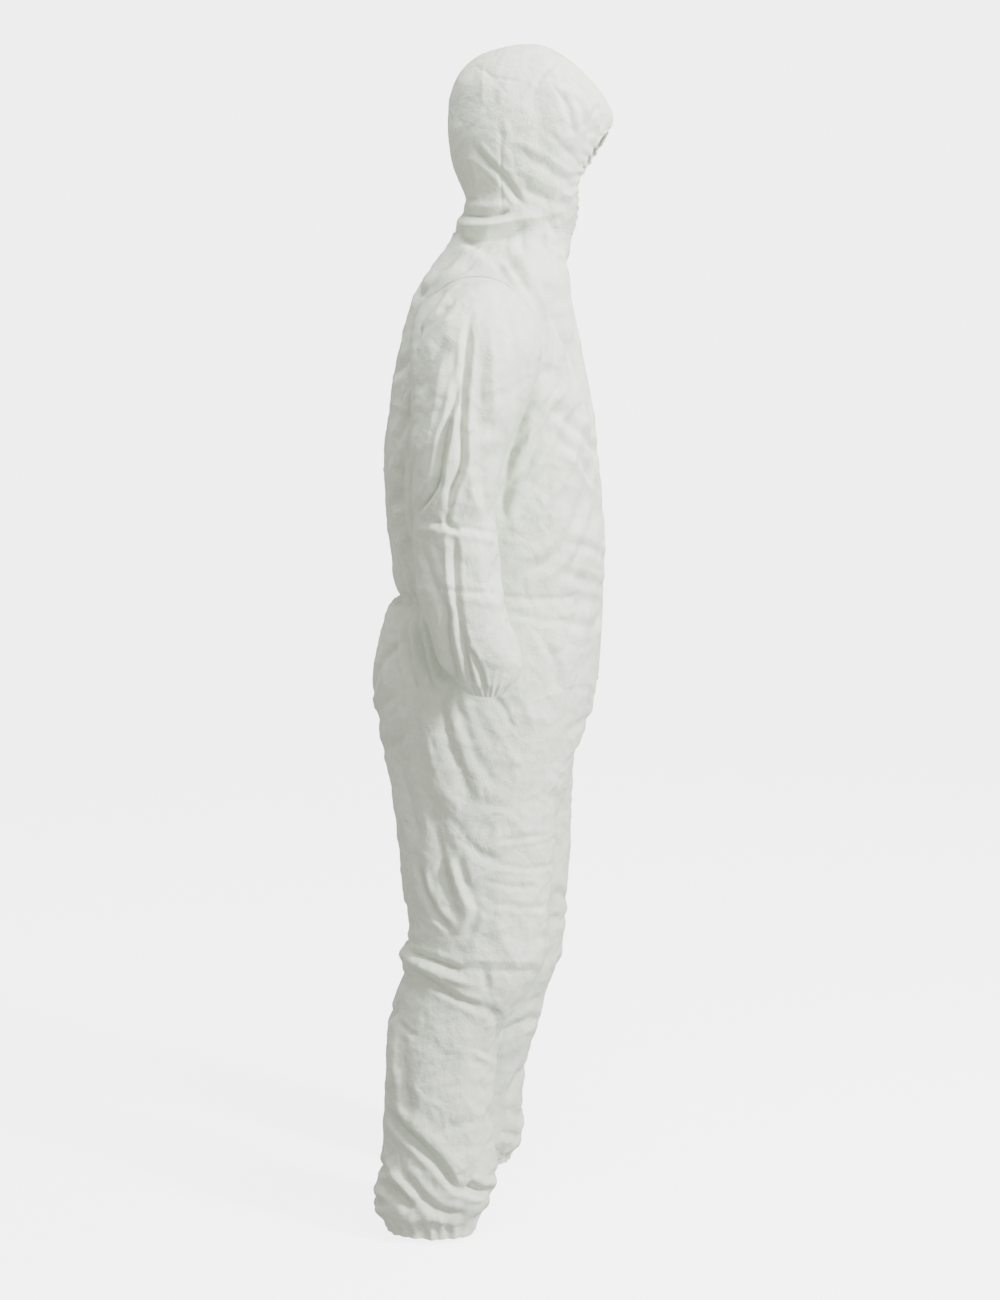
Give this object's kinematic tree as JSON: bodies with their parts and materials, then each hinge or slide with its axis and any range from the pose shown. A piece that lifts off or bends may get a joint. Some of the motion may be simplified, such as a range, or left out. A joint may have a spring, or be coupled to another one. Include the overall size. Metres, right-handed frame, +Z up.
{
  "type": "hooded protective coverall",
  "caption": "Hooded one-piece protective coverall in pale nonwoven fabric, with a zipped front and elasticated face, wrists, waist and ankles.",
  "frame": {"origin": "on the ground below the middle of the suit's outer box, level with the lower edge of the ankle hems", "axes": "+Z up the standing suit, -Y out of its front, +X to the wearer's left"},
  "size_m": [0.64, 0.3532, 1.773],
  "materials": {
    "nonwoven_panel": "matt pale grey-green white spunbond nonwoven",
    "nonwoven_hem": "matt folded nonwoven hem",
    "serging_thread": "matt polyester thread",
    "elastic_band": "matt knitted elastic",
    "zip_tape": "matt woven tape",
    "zip_plastic": "satin moulded nylon"
  },
  "bodies": {
    "torso": {"torso_right_panel": "nonwoven_panel", "torso_left_panel": "nonwoven_panel", "hip_right_panel": "nonwoven_panel", "hip_left_panel": "nonwoven_panel", "neck_seam": "serging_thread", "centre_back_seam": "serging_thread", "centre_front_seam": "serging_thread", "waist_elastic": "elastic_band", "armhole_seam_right": "serging_thread", "armhole_seam_left": "serging_thread", "zip_tape_right": "zip_tape", "zip_tape_left": "zip_tape", "zip_coil_right": "zip_plastic", "zip_coil_left": "zip_plastic", "zip_top_stops": "zip_plastic", "zip_bottom_stop": "zip_plastic"},
    "hood": {"hood_right_panel": "nonwoven_panel", "hood_left_panel": "nonwoven_panel", "hood_centre_seam": "serging_thread", "hood_face_hem": "nonwoven_hem", "hood_face_elastic": "elastic_band"},
    "storm_flap": {"storm_flap": "nonwoven_panel"},
    "zip_slider": {"zip_slider": "zip_plastic"},
    "zip_pull": {"zip_pull": "zip_plastic"},
    "sleeve_right": {"sleeve_upper_right": "nonwoven_panel"},
    "forearm_right": {"elbow_fold_right": "nonwoven_panel", "sleeve_lower_right": "nonwoven_panel", "sleeve_seam_right": "serging_thread", "cuff_hem_right": "nonwoven_hem", "wrist_elastic_right": "elastic_band"},
    "thigh_right": {"hip_fold_right": "nonwoven_panel", "thigh_right_panel": "nonwoven_panel", "thigh_inseam_right": "serging_thread"},
    "shin_right": {"knee_fold_right": "nonwoven_panel", "shin_right_panel": "nonwoven_panel", "shin_inseam_right": "serging_thread", "ankle_hem_right": "nonwoven_hem", "ankle_elastic_right": "elastic_band"},
    "sleeve_left": {"sleeve_upper_left": "nonwoven_panel"},
    "forearm_left": {"elbow_fold_left": "nonwoven_panel", "sleeve_lower_left": "nonwoven_panel", "sleeve_seam_left": "serging_thread", "cuff_hem_left": "nonwoven_hem", "wrist_elastic_left": "elastic_band"},
    "thigh_left": {"hip_fold_left": "nonwoven_panel", "thigh_left_panel": "nonwoven_panel", "thigh_inseam_left": "serging_thread"},
    "shin_left": {"knee_fold_left": "nonwoven_panel", "shin_left_panel": "nonwoven_panel", "shin_inseam_left": "serging_thread", "ankle_hem_left": "nonwoven_hem", "ankle_elastic_left": "elastic_band"}
  },
  "joints": [
    {"name": "hood_fold", "type": "hinge", "parent": "torso", "child": "hood", "pos_m": [0, 0.058, 1.499], "axis": [1, 0, 0], "range_deg": [-100, 0]},
    {"name": "storm_flap_open", "type": "hinge", "parent": "torso", "child": "storm_flap", "pos_m": [-0.024, -0.148, 1.14], "axis": [0, 0.0929, 0.9957], "range_deg": [-75, 0], "deforming": ["storm_flap"]},
    {"name": "zip_slide", "type": "hinge", "parent": "torso", "child": "zip_slider", "pos_m": [0, 1.586, 0.98], "axis": [1, 0, 0], "range_deg": [0, 19.06]},
    {"name": "zip_pull_lift", "type": "hinge", "parent": "zip_slider", "child": "zip_pull", "pos_m": [0, -0.1109, 1.42509], "axis": [1, 0, 0], "range_deg": [-150, 0]},
    {"name": "shoulder_right", "type": "hinge", "parent": "torso", "child": "sleeve_right", "pos_m": [-0.18, 0.019, 1.325], "axis": [1, 0, 0], "range_deg": [-90, 30]},
    {"name": "elbow_right", "type": "hinge", "parent": "sleeve_right", "child": "forearm_right", "pos_m": [-0.255, 0.049, 1.082], "axis": [1, 0, 0], "range_deg": [-70, 0], "deforming": ["elbow_fold_right"]},
    {"name": "hip_right", "type": "hinge", "parent": "torso", "child": "thigh_right", "pos_m": [-0.102, 0.022, 0.73], "axis": [1, 0, 0], "range_deg": [-30, 20], "deforming": ["hip_fold_right"]},
    {"name": "knee_right", "type": "hinge", "parent": "thigh_right", "child": "shin_right", "pos_m": [-0.12, 0.018, 0.437], "axis": [1, 0, 0], "range_deg": [0, 60], "deforming": ["knee_fold_right"]},
    {"name": "shoulder_left", "type": "hinge", "parent": "torso", "child": "sleeve_left", "pos_m": [0.18, 0.019, 1.325], "axis": [1, 0, 0], "range_deg": [-90, 30]},
    {"name": "elbow_left", "type": "hinge", "parent": "sleeve_left", "child": "forearm_left", "pos_m": [0.255, 0.049, 1.082], "axis": [1, 0, 0], "range_deg": [-70, 0], "deforming": ["elbow_fold_left"]},
    {"name": "hip_left", "type": "hinge", "parent": "torso", "child": "thigh_left", "pos_m": [0.102, 0.004, 0.73], "axis": [1, 0, 0], "range_deg": [-30, 20], "deforming": ["hip_fold_left"]},
    {"name": "knee_left", "type": "hinge", "parent": "thigh_left", "child": "shin_left", "pos_m": [0.12, -0.011, 0.437], "axis": [1, 0, 0], "range_deg": [0, 60], "deforming": ["knee_fold_left"]}
  ]
}
